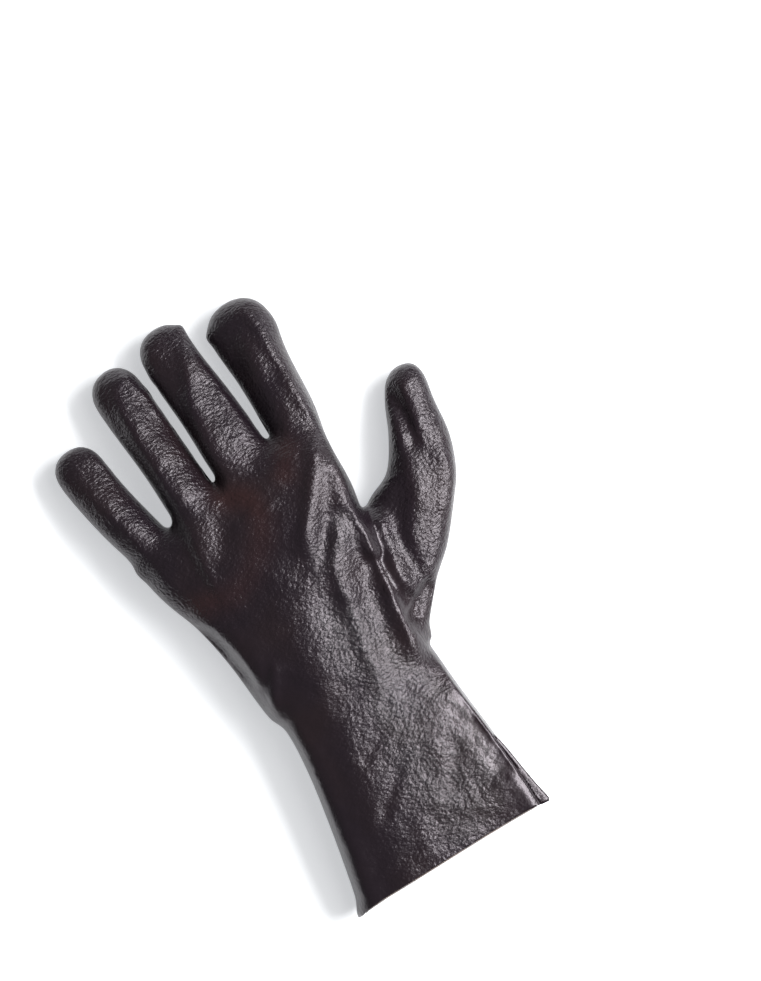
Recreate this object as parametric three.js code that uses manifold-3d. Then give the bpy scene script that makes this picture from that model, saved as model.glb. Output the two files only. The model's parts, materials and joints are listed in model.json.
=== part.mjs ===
// A left-hand work glove with a gauntlet cuff, dipped in a thick coating over a knitted liner, palm down.
// +Y runs from the hem to the fingertips, +X is the thumb's side and +Z is up, off the back of the hand.
// The origin is at the bottom centre of the glove's box. All lengths are in millimetres.

import * as THREE from "three";
import { mergeVertices } from "three/addons/utils/BufferGeometryUtils.js";
import Module from "manifold-3d";

// Lengths along the hand
const CUFF_LENGTH = 96; // from the hem to the narrowest part of the wrist
const PALM_LENGTH = 126; // from there to the line of the finger roots
const LITTLE_LENGTH = 63; // each finger from that line to its tip
const RING_LENGTH = 81;
const MIDDLE_LENGTH = 81;
const INDEX_LENGTH = 68.5;
const THUMB_LENGTH = 143; // from its root inside the wrist to its tip
const WEB_LENGTH = 73; // the web between palm and thumb, from that root to its free edge

// Widths across the hand, seen from above
const CUFF_WIDTH = 107;
const WRIST_WIDTH = 85;
const PALM_WIDTH = 115;
const LITTLE_WIDTH = 25.5;
const RING_WIDTH = 27.5;
const MIDDLE_WIDTH = 29.5;
const INDEX_WIDTH = 30;
const THUMB_WIDTH = 35;
const WEB_WIDTH = 25;

// Heights off the surface that the glove lies on
const CUFF_HEIGHT = 37;
const WRIST_HEIGHT = 39;
const PALM_HEIGHT = 43;
const FINGER_THICKNESS = 22;
const THUMB_THICKNESS = 25;
const WEB_THICKNESS = 23;
const LITTLE_SHARE = 0.92; // the little finger's thickness as a share of the others'

// Walls
const WALL = 1.8; // the coating with the knit bonded to it
const LINER_WALL = 1; // the knit where it shows, inside the cuff
const LINER_GAP = 0.3;
const LINER_DEPTH = 80; // how far the loose part of the liner reaches into the cuff
const LINER_PROUD = 0.7; // how far its raw edge stands out of the hem

// The coated seam allowance along the thumb's side of the cuff
const SEAM_LENGTH = 44;
const SEAM_WIDTH = 4.2;
const SEAM_THICKNESS = 1.8;
const SEAM_CORNER = 2; // its corner at the hem, cut off at a slant
const SEAM_SHARE = 0.55; // its width halfway up, and beside that corner, as a share of SEAM_WIDTH

// Forms
const KNUCKLE_SLANT = 0.22; // the finger roots' rise in Y for each step in X
const HEM_SLANT = 0.055;
const ROOT_DEPTH = 20; // how far a finger's own form starts inside the palm
const PALM_NOSE = 16; // the length over which the palm thins out between the fingers
const NOSE_FLAT = 0.3; // the share of its height that is left there
const FINGER_FULLNESS = 2.3; // 2 is an ellipse and more is nearer to a box
const FINGER_DROOP = 1.4; // 1 is a straight way down to the surface and more comes down late
const TIP_FULLNESS = 2.3;
const REST_SINK = 3; // how deep the underside would hang if the surface did not flatten it
const FOLD_SPREAD = 1.6; // how far a fold runs down a side before it fades
const THINNEST = 0.4; // the least half width of a tip's last ring

// Facets
const OUTSIDE = { backSides: 30, palmSides: 12, step: 6.4, fingerSides: 16, fingerStep: 10, tipSteps: 4 };
const INSIDE = { backSides: 22, palmSides: 10, step: 8, fingerSides: 12, fingerStep: 14, tipSteps: 3 };
const NOSE_STEPS = 4;
const LAST_STEP = 0.4; // the share of a step by which a tip's last ring stops short of its end
const CUT_REACH = 12; // how far a hollow's own form runs on, past the end that it opens

// Zones of the hand, which the tables below take their shares from
const CUFF = { start: 0, length: CUFF_LENGTH, width: CUFF_WIDTH, height: CUFF_HEIGHT };
const WRIST = { start: CUFF_LENGTH, length: 0, width: WRIST_WIDTH, height: WRIST_HEIGHT };
const PALM = { start: CUFF_LENGTH, length: PALM_LENGTH, width: PALM_WIDTH, height: PALM_HEIGHT };

// Sections of the cuff and the hand. along is a share of the zone's length. left, right and crest are
// shares of its width, and side and top of its height. side is the height of the widest line and crest how
// far the top leans to one side. full is 2 for an ellipse, less for a lens and more for a box. slant turns
// the section in plan.
const BODY_SECTIONS = [
  { zone: CUFF, along: 0.0, left: -0.51, right: 0.487, side: 0.3, top: 0.95, crest: -0.15,
    full: 1.75, slant: HEM_SLANT },
  { zone: CUFF, along: 0.2, left: -0.477, right: 0.47, side: 0.33, top: 0.97, crest: -0.15,
    full: 1.9, slant: HEM_SLANT },
  { zone: CUFF, along: 0.46, left: -0.44, right: 0.446, side: 0.35, top: 0.98, crest: -0.13,
    full: 2.0, slant: 0.03 },
  { zone: CUFF, along: 0.76, left: -0.409, right: 0.408, side: 0.36, top: 1.0, crest: -0.12,
    full: 2.1, slant: 0.01 },
  { zone: WRIST, along: 0.0, left: -0.515, right: 0.482, side: 0.36, top: 0.98, crest: -0.13,
    full: 2.1, slant: 0 },
  { zone: PALM, along: 0.065, left: -0.415, right: 0.345, side: 0.29, top: 0.93, crest: -0.08,
    full: 2.1, slant: 0 },
  { zone: PALM, along: 0.33, left: -0.457, right: 0.326, side: 0.3, top: 0.97, crest: -0.05,
    full: 2.1, slant: 0 },
  { zone: PALM, along: 0.53, left: -0.504, right: 0.357, side: 0.33, top: 1.0, crest: -0.02,
    full: 2.2, slant: 0.04 },
  { zone: PALM, along: 0.7, left: -0.565, right: 0.387, side: 0.37, top: 1.0, crest: 0.02,
    full: 2.3, slant: 0.1 },
  { zone: PALM, along: 0.84, left: -0.597, right: 0.387, side: 0.44, top: 0.97, crest: 0.04,
    full: 2.4, slant: 0.17 },
  { zone: PALM, along: 1.0, left: -0.61, right: 0.4, side: 0.53, top: 0.92, crest: 0.03,
    full: 2.4, slant: KNUCKLE_SLANT },
];

// The fingers, the web and the thumb. Each one's root is a share of the palm's width, its rise a share of the
// palm's height, and its tip's round part a share of its own width. crest is how far its top leans to one
// side. lean and bend are in degrees to the left, seen from above. The rows give each side and the height
// along its length as shares of its width and thickness.
const FINGERS = [
  {
    length: LITTLE_LENGTH, width: LITTLE_WIDTH, thickness: FINGER_THICKNESS * LITTLE_SHARE,
    root: -0.458, rise: 0.46, lean: 22, bend: -14, tip: 0.5, crest: -0.12,
    rows: [
      { along: 0.0, left: 0.4, right: 0.46, height: 0.95 },
      { along: 0.34, left: 0.48, right: 0.49, height: 1.25 },
      { along: 0.62, left: 0.5, right: 0.49, height: 1.08 },
      { along: 0.82, left: 0.5, right: 0.5, height: 0.98 },
      { along: 1.0, left: 0.47, right: 0.47, height: 0.92 },
    ],
  },
  {
    length: RING_LENGTH, width: RING_WIDTH, thickness: FINGER_THICKNESS,
    root: -0.237, rise: 0.57, lean: 5.5, bend: 1, tip: 0.52, crest: -0.14,
    rows: [
      { along: 0.0, left: 0.5, right: 0.5, height: 1.05 },
      { along: 0.22, left: 0.49, right: 0.49, height: 1.3 },
      { along: 0.45, left: 0.47, right: 0.47, height: 1.14 },
      { along: 0.8, left: 0.51, right: 0.51, height: 1.0 },
      { along: 1.0, left: 0.48, right: 0.46, height: 0.95 },
    ],
  },
  {
    length: MIDDLE_LENGTH, width: MIDDLE_WIDTH, thickness: FINGER_THICKNESS,
    root: 0.031, rise: 0.58, lean: 4.5, bend: 3, tip: 0.46, crest: -0.14,
    rows: [
      { along: 0.0, left: 0.5, right: 0.54, height: 1.05 },
      { along: 0.24, left: 0.53, right: 0.54, height: 1.3 },
      { along: 0.52, left: 0.5, right: 0.5, height: 1.12 },
      { along: 0.78, left: 0.54, right: 0.45, height: 1.0 },
      { along: 1.0, left: 0.44, right: 0.47, height: 0.95 },
    ],
  },
  {
    length: INDEX_LENGTH, width: INDEX_WIDTH, thickness: FINGER_THICKNESS,
    root: 0.29, rise: 0.5, lean: 0, bend: 1.5, tip: 0.46, crest: 0.1,
    rows: [
      { along: 0.0, left: 0.46, right: 0.34, height: 0.85 },
      { along: 0.25, left: 0.47, right: 0.46, height: 1.28 },
      { along: 0.55, left: 0.49, right: 0.49, height: 1.1 },
      { along: 0.8, left: 0.56, right: 0.54, height: 1.02 },
      { along: 1.0, left: 0.52, right: 0.5, height: 0.97 },
    ],
  },
  {
    length: WEB_LENGTH, width: WEB_WIDTH, thickness: WEB_THICKNESS, fromWrist: true,
    root: 0.29, rise: 0.42, lean: -14, bend: 6, tip: 0.5, crest: 0,
    rows: [
      { along: 0.0, left: 0.4, right: 0.4, height: 0.9 },
      { along: 0.5, left: 0.5, right: 0.5, height: 1.0 },
      { along: 1.0, left: 0.45, right: 0.45, height: 0.9 },
    ],
  },
  {
    length: THUMB_LENGTH, width: THUMB_WIDTH, thickness: THUMB_THICKNESS, fromWrist: true,
    root: 0.261, rise: 0.4, lean: -39, bend: 22, tip: 0.34, crest: -0.06,
    rows: [
      { along: 0.0, left: 0.35, right: 0.24, height: 0.85 },
      { along: 0.24, left: 0.5, right: 0.28, height: 0.95 },
      { along: 0.36, left: 0.66, right: 0.4, height: 1.0 },
      { along: 0.46, left: 0.79, right: 0.46, height: 1.02 },
      { along: 0.53, left: 0.71, right: 0.5, height: 1.03 },
      { along: 0.61, left: 0.48, right: 0.54, height: 1.04 },
      { along: 0.74, left: 0.4, right: 0.48, height: 1.0 },
      { along: 0.87, left: 0.39, right: 0.31, height: 0.9 },
      { along: 1.0, left: 0.3, right: 0.22, height: 0.82 },
    ],
  },
];
const THUMB_ROOT_ALONG = 0.056; // where the thumb and the web start, as a share of the palm's length

// Folds. Each runs through three points, whose x is a share of the palm's width and y of its length above the
// wrist. lift is a share of the palm's height, wide of its width, and under is true for the palm's side.
const FOLDS = [
  { name: "knuckle ridge", points: [[0.38, 0.97], [0.2, 0.76], [0.05, 0.55]], lift: 0.05, wide: 0.065 },
  { name: "wrist ridge", points: [[0.05, 0.55], [-0.087, 0.21], [-0.152, -0.3]], lift: 0.035, wide: 0.075 },
  { name: "diagonal valley", points: [[0.36, 0.83], [0.2, 0.6], [0.11, 0.4]], lift: -0.05, wide: 0.055 },
  { name: "inner valley", points: [[0.11, 0.4], [0.075, 0.17], [0.052, -0.06]], lift: -0.04, wide: 0.05 },
  { name: "tendon ridge", points: [[0.31, 0.66], [0.174, 0.37], [0.1, 0.0]], lift: 0.04, wide: 0.05 },
  { name: "outer valley", points: [[0.27, 0.5], [0.26, 0.25], [0.29, -0.02]], lift: -0.055, wide: 0.05 },
  { name: "thumb ridge", points: [[0.365, 0.62], [0.322, 0.33], [0.33, 0.05]], lift: 0.06, wide: 0.04 },
  { name: "thumb fold", points: [[0.4, 0.59], [0.42, 0.41], [0.44, 0.26]], lift: 0.08, wide: 0.04 },
  { name: "heel crease", points: [[-0.5, 0.56], [-0.39, 0.36], [-0.3, 0.16]], lift: -0.08, wide: 0.06 },
  { name: "palm", points: [[-0.2, 0.8], [-0.08, 0.58], [-0.04, 0.3]], lift: 0.12, wide: 0.18, under: true },
];

const radians = THREE.MathUtils.degToRad;
const clamp = THREE.MathUtils.clamp;

// The value of a table's column at a place along it, on a smooth curve through the rows.
function column(rows, name, place) {
  const last = rows.length - 1;
  const i = clamp(rows.findIndex((row) => row.along > place) - 1, 0, last - 1);
  const start = place >= rows[last].along ? last - 1 : i;
  const [a, b] = [rows[start], rows[start + 1]];
  const slope = (from, to) => (rows[to][name] - rows[from][name]) / (rows[to].along - rows[from].along);
  const span = b.along - a.along;
  const t = clamp((place - a.along) / span, 0, 1);
  const leaving = slope(Math.max(start - 1, 0), start + 1) * span;
  const arriving = slope(start, Math.min(start + 2, last)) * span;
  return (
    (2 * t ** 3 - 3 * t ** 2 + 1) * a[name] +
    (t ** 3 - 2 * t ** 2 + t) * leaving +
    (3 * t ** 2 - 2 * t ** 3) * b[name] +
    (t ** 3 - t ** 2) * arriving
  );
}

// The body's table with its shares worked out to lengths.
const bodyRows = BODY_SECTIONS.map(({ zone, along, left, right, side, top, crest, full, slant }) => ({
  along: zone.start + along * zone.length,
  left: left * zone.width,
  right: right * zone.width,
  side: side * zone.height,
  top: top * zone.height,
  crest: crest * zone.width,
  full,
  slant,
}));
const bodyEnd = CUFF_LENGTH + PALM_LENGTH;

// The folds as curves in plan, each with its height and its reach to either side.
const folds = FOLDS.map(({ points, lift, wide, under }) => ({
  line: new THREE.SplineCurve(
    points.map(([x, y]) => new THREE.Vector2(x * PALM_WIDTH, CUFF_LENGTH + y * PALM_LENGTH)),
  ).getPoints(12),
  lift: lift * PALM_HEIGHT,
  reach: wide * PALM_WIDTH,
  under: Boolean(under),
}));

// How far the folds move a point up or down. facing is 1 on the glove's very top and -1 on its underside.
function foldLift(x, y, facing) {
  const spot = new THREE.Vector2(x, y);
  let lift = 0;
  for (const fold of folds) {
    const share = clamp(fold.under ? -facing : facing, 0, 1);
    if (share === 0) continue;
    const far = Math.min(...fold.line.map((point) => point.distanceTo(spot)));
    lift += fold.lift * Math.exp(-((far / fold.reach) ** 2)) * Math.min(1, FOLD_SPREAD * share);
  }
  return lift;
}

// A point of a closed section: cosine and sine with their powers set by how full the section is.
const power = (value, full) => Math.sign(value) * Math.abs(value) ** (2 / full);

// Even steps round a part of a turn, from one angle to just short of another.
const steps = (from, to, count) => Array.from({ length: count }, (_, i) => from + ((to - from) * i) / count);

// One ring of the cuff and hand, inset by a wall. Its points are closer together over the back.
// flat is the share of the height left where the palm thins out.
function bodyRing(along, inset, flat, facets) {
  const value = (name) => column(bodyRows, name, along);
  const [left, right, side, full] = ["left", "right", "side", "full"].map(value);
  const middle = (left + right) / 2;
  const half = (right - left) / 2 - inset;
  const up = (value("top") - side) * flat - inset;
  const down = (side + REST_SINK) * flat - inset;
  const angles = [...steps(0, Math.PI, facets.backSides), ...steps(Math.PI, 2 * Math.PI, facets.palmSides)];
  return angles.map((angle) => {
    const [across, facing] = [Math.cos(angle), Math.sin(angle)];
    const x = middle + half * power(across, full) + value("crest") * Math.max(0, facing) ** 2;
    const y = along + value("slant") * x;
    const z = side + (facing > 0 ? up : down) * power(facing, full) + foldLift(x, y, facing) * flat;
    return new THREE.Vector3(x, y, Math.max(z, inset));
  });
}

// The rings from one place along the glove to another, on stations that walls of equal facets share.
function bodyRings(from, to, inset, facets) {
  const noseStart = bodyEnd - PALM_NOSE;
  const stations = steps(0, noseStart, Math.round(noseStart / facets.step));
  const inside = stations.filter((place) => place > from + 0.5 && place < to - 0.5);
  const rings = [from, ...inside, Math.min(to, noseStart)].map((place) => bodyRing(place, inset, 1, facets));
  if (to < bodyEnd) return rings;
  const nose = PALM_NOSE - inset;
  for (let i = 1; i <= NOSE_STEPS; i++) {
    const turn = (i / (NOSE_STEPS + LAST_STEP)) * (Math.PI / 2);
    const flat = Math.max(Math.cos(turn), NOSE_FLAT);
    rings.push(bodyRing(noseStart + nose * Math.sin(turn), inset, flat, facets));
  }
  return rings;
}

// A point of a finger's centre line: an arc in plan that comes down to the surface at the tip.
function fingerCentre(finger, length, along) {
  const { root, rise, lean, bend, thickness, fromWrist } = finger;
  const x = root * PALM_WIDTH;
  const knuckle = bodyEnd + KNUCKLE_SLANT * x;
  const y = fromWrist ? CUFF_LENGTH + THUMB_ROOT_ALONG * PALM_LENGTH : knuckle - ROOT_DEPTH;
  const start = radians(lean);
  const turn = radians(bend) * along;
  const reach = length * along;
  const bow = turn === 0 ? 0 : reach / turn;
  const rootHeight = rise * PALM_HEIGHT;
  const tipHeight = 0.5 * thickness;
  return {
    x: x - bow * (Math.cos(start) - Math.cos(start + turn)),
    y: y + bow * (Math.sin(start + turn) - Math.sin(start)),
    z: rootHeight + (tipHeight - rootHeight) * along ** FINGER_DROOP,
    heading: start + turn,
  };
}

// The rings of a finger, inset by a wall at its sides and at both ends, with a round tip.
function fingerRings(finger, inset, facets) {
  const { rows, width, thickness, fromWrist, tip, crest } = finger;
  const whole = finger.length + (fromWrist ? 0 : ROOT_DEPTH);
  const tipStart = 1 - (tip * width) / whole;
  const tipEnd = 1 - inset / whole;
  const count = Math.round((tipStart * whole) / facets.fingerStep);
  const places = steps(inset / whole, tipStart, count).map((along) => [along, 1]);
  places.push([tipStart, 1]);
  for (let i = 1; i <= facets.tipSteps; i++) {
    const share = Math.sin((i / (facets.tipSteps + LAST_STEP)) * (Math.PI / 2));
    const round = (1 - share ** TIP_FULLNESS) ** (1 / TIP_FULLNESS);
    places.push([tipStart + (tipEnd - tipStart) * share, round]);
  }
  return places.map(([along, round]) => {
    const centre = fingerCentre(finger, whole, along);
    const size = (name, full) => Math.max(THINNEST, column(rows, name, along) * full * round - inset);
    const [left, right, half] = [size("left", width), size("right", width), size("height", thickness / 2)];
    return steps(0, 2 * Math.PI, facets.fingerSides).map((angle) => {
      const [across, facing] = [Math.cos(angle), Math.sin(angle)];
      const reach = across > 0 ? right : left;
      const side = power(across, FINGER_FULLNESS) * reach + crest * width * round * Math.max(0, facing) ** 2;
      const x = centre.x + side * Math.cos(centre.heading);
      const y = centre.y + side * Math.sin(centre.heading);
      const z = centre.z + half * power(facing, FINGER_FULLNESS) + foldLift(x, y, facing) * round;
      return new THREE.Vector3(x, y, Math.max(z, inset));
    });
  });
}

// A closed skin over a row of rings of equal count, each end closed by a fan of triangles to its middle.
function skinOver(rings) {
  const count = rings[0].length;
  const points = rings.flat();
  const faces = [];
  for (let r = 0; r + 1 < rings.length; r++) {
    for (let i = 0; i < count; i++) {
      const [a, b] = [r * count + i, r * count + ((i + 1) % count)];
      faces.push(a, b + count, b, a, a + count, b + count);
    }
  }
  for (const [ring, first] of [[rings[0], 0], [rings.at(-1), (rings.length - 1) * count]]) {
    const middle = ring.reduce((sum, point) => sum.add(point), new THREE.Vector3()).divideScalar(count);
    points.push(middle);
    for (let i = 0; i < count; i++) {
      const [a, b] = [first + i, first + ((i + 1) % count)];
      if (first === 0) faces.push(a, b, points.length - 1);
      else faces.push(b, a, points.length - 1);
    }
  }
  return new THREE.BufferGeometry().setFromPoints(points).setIndex(faces);
}

const wasm = await Module();
wasm.setup();

// A closed geometry as a solid that can be joined and cut.
function solidOf(geometry) {
  const bare = geometry.clone();
  bare.deleteAttribute("normal");
  bare.deleteAttribute("uv");
  const merged = mergeVertices(bare, 1e-4);
  return new wasm.Manifold(
    new wasm.Mesh({
      numProp: 3,
      vertProperties: new Float32Array(merged.attributes.position.array),
      triVerts: new Uint32Array(merged.index.array),
    }),
  );
}

// A solid's faces as a geometry that three.js can draw.
function geometryOf(solid) {
  const mesh = solid.getMesh();
  const geometry = new THREE.BufferGeometry();
  geometry.setAttribute("position", new THREE.BufferAttribute(new Float32Array(mesh.vertProperties), 3));
  geometry.setIndex(new THREE.BufferAttribute(new Uint32Array(mesh.triVerts), 1));
  const faceted = geometry.toNonIndexed();
  faceted.computeVertexNormals();
  return faceted;
}

// The whole hand with its fingers, inset by a wall, starting at a place along the cuff.
function handSolid(inset, from, facets) {
  let hand = solidOf(skinOver(bodyRings(from, bodyEnd, inset, facets)));
  for (const finger of FINGERS) hand = hand.add(solidOf(skinOver(fingerRings(finger, inset, facets))));
  return hand;
}

// The seam allowance, a thin fin that widens towards the hem.
function seamSolid() {
  const hem = bodyRows[0];
  const edge = (along) => column(bodyRows, "right", along);
  const outline = new THREE.Shape();
  const hemY = HEM_SLANT * hem.right;
  outline.moveTo(edge(0) - WALL, hemY);
  outline.lineTo(edge(0) + SEAM_WIDTH * SEAM_SHARE, hemY - SEAM_CORNER / 2);
  outline.lineTo(edge(0) + SEAM_WIDTH, hemY + SEAM_CORNER);
  outline.lineTo(edge(SEAM_LENGTH / 2) + SEAM_WIDTH * SEAM_SHARE, SEAM_LENGTH / 2);
  outline.lineTo(edge(SEAM_LENGTH) - WALL / 2, SEAM_LENGTH);
  const fin = new THREE.ExtrudeGeometry(outline, { depth: SEAM_THICKNESS, bevelEnabled: false });
  return solidOf(fin.translate(0, 0, hem.side - SEAM_THICKNESS / 2));
}

// The coated glove: one wall all over, open at the hem.
function coatedShell() {
  const whole = handSolid(0, 0, OUTSIDE).add(seamSolid());
  return geometryOf(whole.subtract(handSolid(WALL, -CUT_REACH, INSIDE)));
}

// The knitted liner where it shows: a sleeve inside the cuff, whose raw edge stands a little out of the hem.
function cuffLiner() {
  const outside = WALL + LINER_GAP;
  const inside = outside + LINER_WALL;
  const sleeve = solidOf(skinOver(bodyRings(-LINER_PROUD, LINER_DEPTH, outside, INSIDE)));
  const hollow = solidOf(skinOver(bodyRings(-CUT_REACH, LINER_DEPTH + CUT_REACH, inside, INSIDE)));
  return geometryOf(sleeve.subtract(hollow));
}

const coating = new THREE.MeshStandardMaterial({ color: 0x1d1a1c, roughness: 0.38, metalness: 0 });
const knit = new THREE.MeshStandardMaterial({ color: 0xb9a893, roughness: 0.95, metalness: 0 });

function named(name, geometry, material) {
  const mesh = new THREE.Mesh(geometry, material);
  mesh.name = name;
  return mesh;
}

const glove = new THREE.Group();
glove.add(named("coated_shell", coatedShell(), coating));
glove.add(named("cuff_liner", cuffLiner(), knit));

// The origin goes to the bottom centre of the glove's box.
const box = new THREE.Box3().setFromObject(glove);
const centre = box.getCenter(new THREE.Vector3());
glove.position.set(-centre.x, -centre.y, -box.min.z);

export default glove;
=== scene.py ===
# Dresses the coated work glove on its CAD frame: a creased, pebbled coating over the whole hand
# and cuff, and the knitted liner whose raw edge shows at the hem. Tables are in millimetres,
# meshes in metres.

import json
import math

import bpy
import numpy as np
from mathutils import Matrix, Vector, noise
from mathutils.bvhtree import BVHTree

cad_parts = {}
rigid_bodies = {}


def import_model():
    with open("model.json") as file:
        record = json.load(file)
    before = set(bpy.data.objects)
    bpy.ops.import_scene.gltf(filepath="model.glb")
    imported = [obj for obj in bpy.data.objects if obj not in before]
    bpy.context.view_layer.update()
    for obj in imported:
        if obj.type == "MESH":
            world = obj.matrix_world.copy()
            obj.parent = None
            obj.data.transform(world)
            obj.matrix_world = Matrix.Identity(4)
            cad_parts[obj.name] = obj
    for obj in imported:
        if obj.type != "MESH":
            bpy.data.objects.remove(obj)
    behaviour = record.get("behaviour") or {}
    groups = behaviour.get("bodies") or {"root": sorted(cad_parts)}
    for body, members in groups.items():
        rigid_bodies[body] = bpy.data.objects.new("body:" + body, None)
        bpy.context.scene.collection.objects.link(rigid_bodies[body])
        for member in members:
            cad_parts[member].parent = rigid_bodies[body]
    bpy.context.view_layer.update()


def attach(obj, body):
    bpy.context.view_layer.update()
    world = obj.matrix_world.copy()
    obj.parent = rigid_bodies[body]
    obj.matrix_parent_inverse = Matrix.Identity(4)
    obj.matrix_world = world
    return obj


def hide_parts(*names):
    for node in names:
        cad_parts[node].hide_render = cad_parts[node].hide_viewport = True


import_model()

MM = 0.001
HEM_MIDDLE = (-8.918, -149.925)  # where the middle of the hem lies in the frame

# Lengths along the hand
CUFF_LENGTH = 96
PALM_LENGTH = 126
LITTLE_LENGTH = 63
RING_LENGTH = 81
MIDDLE_LENGTH = 81
INDEX_LENGTH = 68.5
THUMB_LENGTH = 143
WEB_LENGTH = 73

# Widths across the hand
CUFF_WIDTH = 107
WRIST_WIDTH = 85
PALM_WIDTH = 115
LITTLE_WIDTH = 25.5
RING_WIDTH = 27.5
MIDDLE_WIDTH = 29.5
INDEX_WIDTH = 30
THUMB_WIDTH = 35
WEB_WIDTH = 25

# Heights off the surface
CUFF_HEIGHT = 37
WRIST_HEIGHT = 39
PALM_HEIGHT = 43
FINGER_THICKNESS = 22
LITTLE_SHARE = 0.92
THUMB_THICKNESS = 25
WEB_THICKNESS = 23

# Walls
WALL = 1.8
LINER_WALL = 1
LINER_GAP = 0.3
LINER_DEPTH = 80
LINER_PROUD = 0.7

# Forms
KNUCKLE_SLANT = 0.22
ROOT_DEPTH = 20
PALM_NOSE = 16
NOSE_FLAT = 0.3  # the least share of the height that is left at the palm's end
FINGER_FULLNESS = 2.1
FINGER_DROOP = 1.4
TIP_FULLNESS = 2.3
REST_SINK = 3  # how far the underside would reach below the floor, were it not flat
THUMB_ROOT_ALONG = 0.056
HEM_SLANT = 0.055
HEM_SPARE = 14  # how far the cuff runs on below the hem before it is cut

# Lines along which the separate forms melt into each other
KNUCKLE_LINE = [(-66, 200), (-40, 208), (0, 214), (42, 222)]
WEB_LINE = [(40, 108), (42, 130), (44, 150), (47, 172)]

# Mesh sizes
VOXEL = 1.22
INNER_VOXEL = 2.6
RING_STEP = 2
BODY_SIDES = 120
FINGER_SIDES = 48
TIP_STEPS = 10
TIP_SPARE = 0.4  # the last ring stops this share of a step short of the tip

# How the forms melt together, and how the back takes its folds
SETTLE_PASSES = 6
MELT_PASSES = 160
KNUCKLE_MELT = 13  # how far from its line the melting reaches
WEB_MELT = 12
MELT_FACING = 0.4  # how far up a vertex faces that melts in full
FOLD_FACING = 0.05  # how far up a vertex faces where folds begin
FOLD_FACING_SPAN = 0.45  # and by how much more where they are full
FOLD_CLEAR = 3  # a fold ends this many reaches from its line
FOLD_RISE = 5  # how fast a fold rises from its ends
FOLD_END = 0.15  # the share of its height at its very ends

# The coating's uneven swells and cross ripples
SWELL_SPAN = 14
SWELL_HEIGHT = 0.7
RIPPLE_SPAN = 6
RIPPLE_STEP = 3.2
RIPPLE_HEIGHT = 0.36

# How the inner surfaces are made, and how far the blocks that cut the hem reach
SHRINK_SETTLE = 2
SHRINK_STEPS = 4
CLAMP_PASSES = 3
CUT_LOW = -30
CUT_HIGH = 80
CUT_BELOW = 60

CUFF = (0, CUFF_LENGTH, CUFF_WIDTH, CUFF_HEIGHT)
WRIST = (CUFF_LENGTH, 0, WRIST_WIDTH, WRIST_HEIGHT)
PALM = (CUFF_LENGTH, PALM_LENGTH, PALM_WIDTH, PALM_HEIGHT)

# zone, along, left, right, side, top, crest, full, slant
BODY_SECTIONS = [
    (CUFF, 0.0, -0.51, 0.487, 0.3, 0.88, -0.15, 1.75, HEM_SLANT),
    (CUFF, 0.2, -0.477, 0.47, 0.33, 0.93, -0.15, 1.9, HEM_SLANT),
    (CUFF, 0.46, -0.44, 0.446, 0.35, 0.98, -0.13, 2.0, 0.03),
    (CUFF, 0.76, -0.409, 0.408, 0.36, 1.0, -0.12, 2.1, 0.01),
    (WRIST, 0, -0.515, 0.482, 0.36, 0.98, -0.13, 2.1, 0),
    (PALM, 0.065, -0.415, 0.345, 0.32, 0.93, -0.08, 2.1, 0),
    (PALM, 0.33, -0.457, 0.326, 0.38, 0.97, -0.05, 2.1, 0),
    (PALM, 0.53, -0.504, 0.357, 0.44, 1.0, 0.08, 2.2, 0.04),
    (PALM, 0.7, -0.565, 0.387, 0.48, 1.0, 0.17, 2.3, 0.1),
    (PALM, 0.84, -0.597, 0.387, 0.52, 0.97, 0.2, 2.4, 0.17),
    (PALM, 1.0, -0.61, 0.4, 0.57, 0.92, 0.18, 2.4, KNUCKLE_SLANT),
]

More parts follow.
